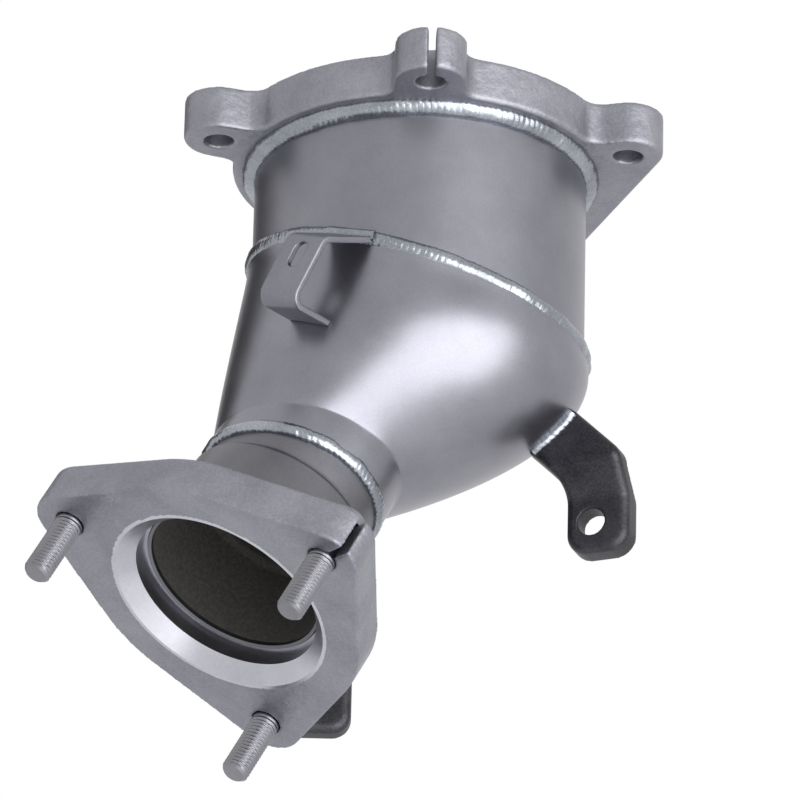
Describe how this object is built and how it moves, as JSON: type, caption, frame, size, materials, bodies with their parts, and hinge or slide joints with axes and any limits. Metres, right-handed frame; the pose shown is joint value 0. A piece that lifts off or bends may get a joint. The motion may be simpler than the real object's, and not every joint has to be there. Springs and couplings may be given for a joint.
{
  "type": "catalytic converter",
  "caption": "Close-coupled catalytic converter: round can with a lobed inlet flange, a turned cone, an oblique studded outlet flange and pressed support brackets.",
  "frame": {"origin": "centre of the inlet flange's mating face, on the axis of the catalyst can", "axes": "+Z out of the inlet flange's mating face, towards the exhaust manifold; -Y is the side with the slit ear, and the outlet turns towards -X and -Y"},
  "size_m": [0.2171, 0.1758, 0.2454],
  "materials": {
    "cast_flange": "as-cast surface with a satin heat-resistant silver finish",
    "rolled_can": "smooth satin stainless sheet",
    "drawn_cone": "smooth satin stainless pressing",
    "pipe_steel": "satin stainless tube",
    "weld_bead": "bright rippled weld",
    "stud_steel": "threaded steel, lightly zinc-plated",
    "bracket_steel": "darker pressed sheet",
    "ceramic": "matt porous cordierite with a thin washcoat",
    "mat_fibre": "soft ceramic fibre mat",
    "wire_mesh": "knitted wire"
  },
  "bodies": {
    "root": {"inlet_flange": "cast_flange", "outlet_flange": "cast_flange", "catalyst_can": "rolled_can", "outlet_cone": "drawn_cone", "outlet_pipe": "pipe_steel", "outlet_studs": "stud_steel", "inlet_weld": "weld_bead", "joint_weld": "weld_bead", "neck_weld": "weld_bead", "flange_weld": "weld_bead", "support_bracket": "bracket_steel", "support_bracket_weld": "weld_bead", "bridge_bracket": "bracket_steel", "bridge_bracket_weld": "weld_bead", "rear_bracket": "bracket_steel", "rear_bracket_weld": "weld_bead", "monolith": "ceramic", "support_mat": "mat_fibre", "mat_ring_upper": "wire_mesh", "mat_ring_lower": "wire_mesh"}
  },
  "joints": []
}
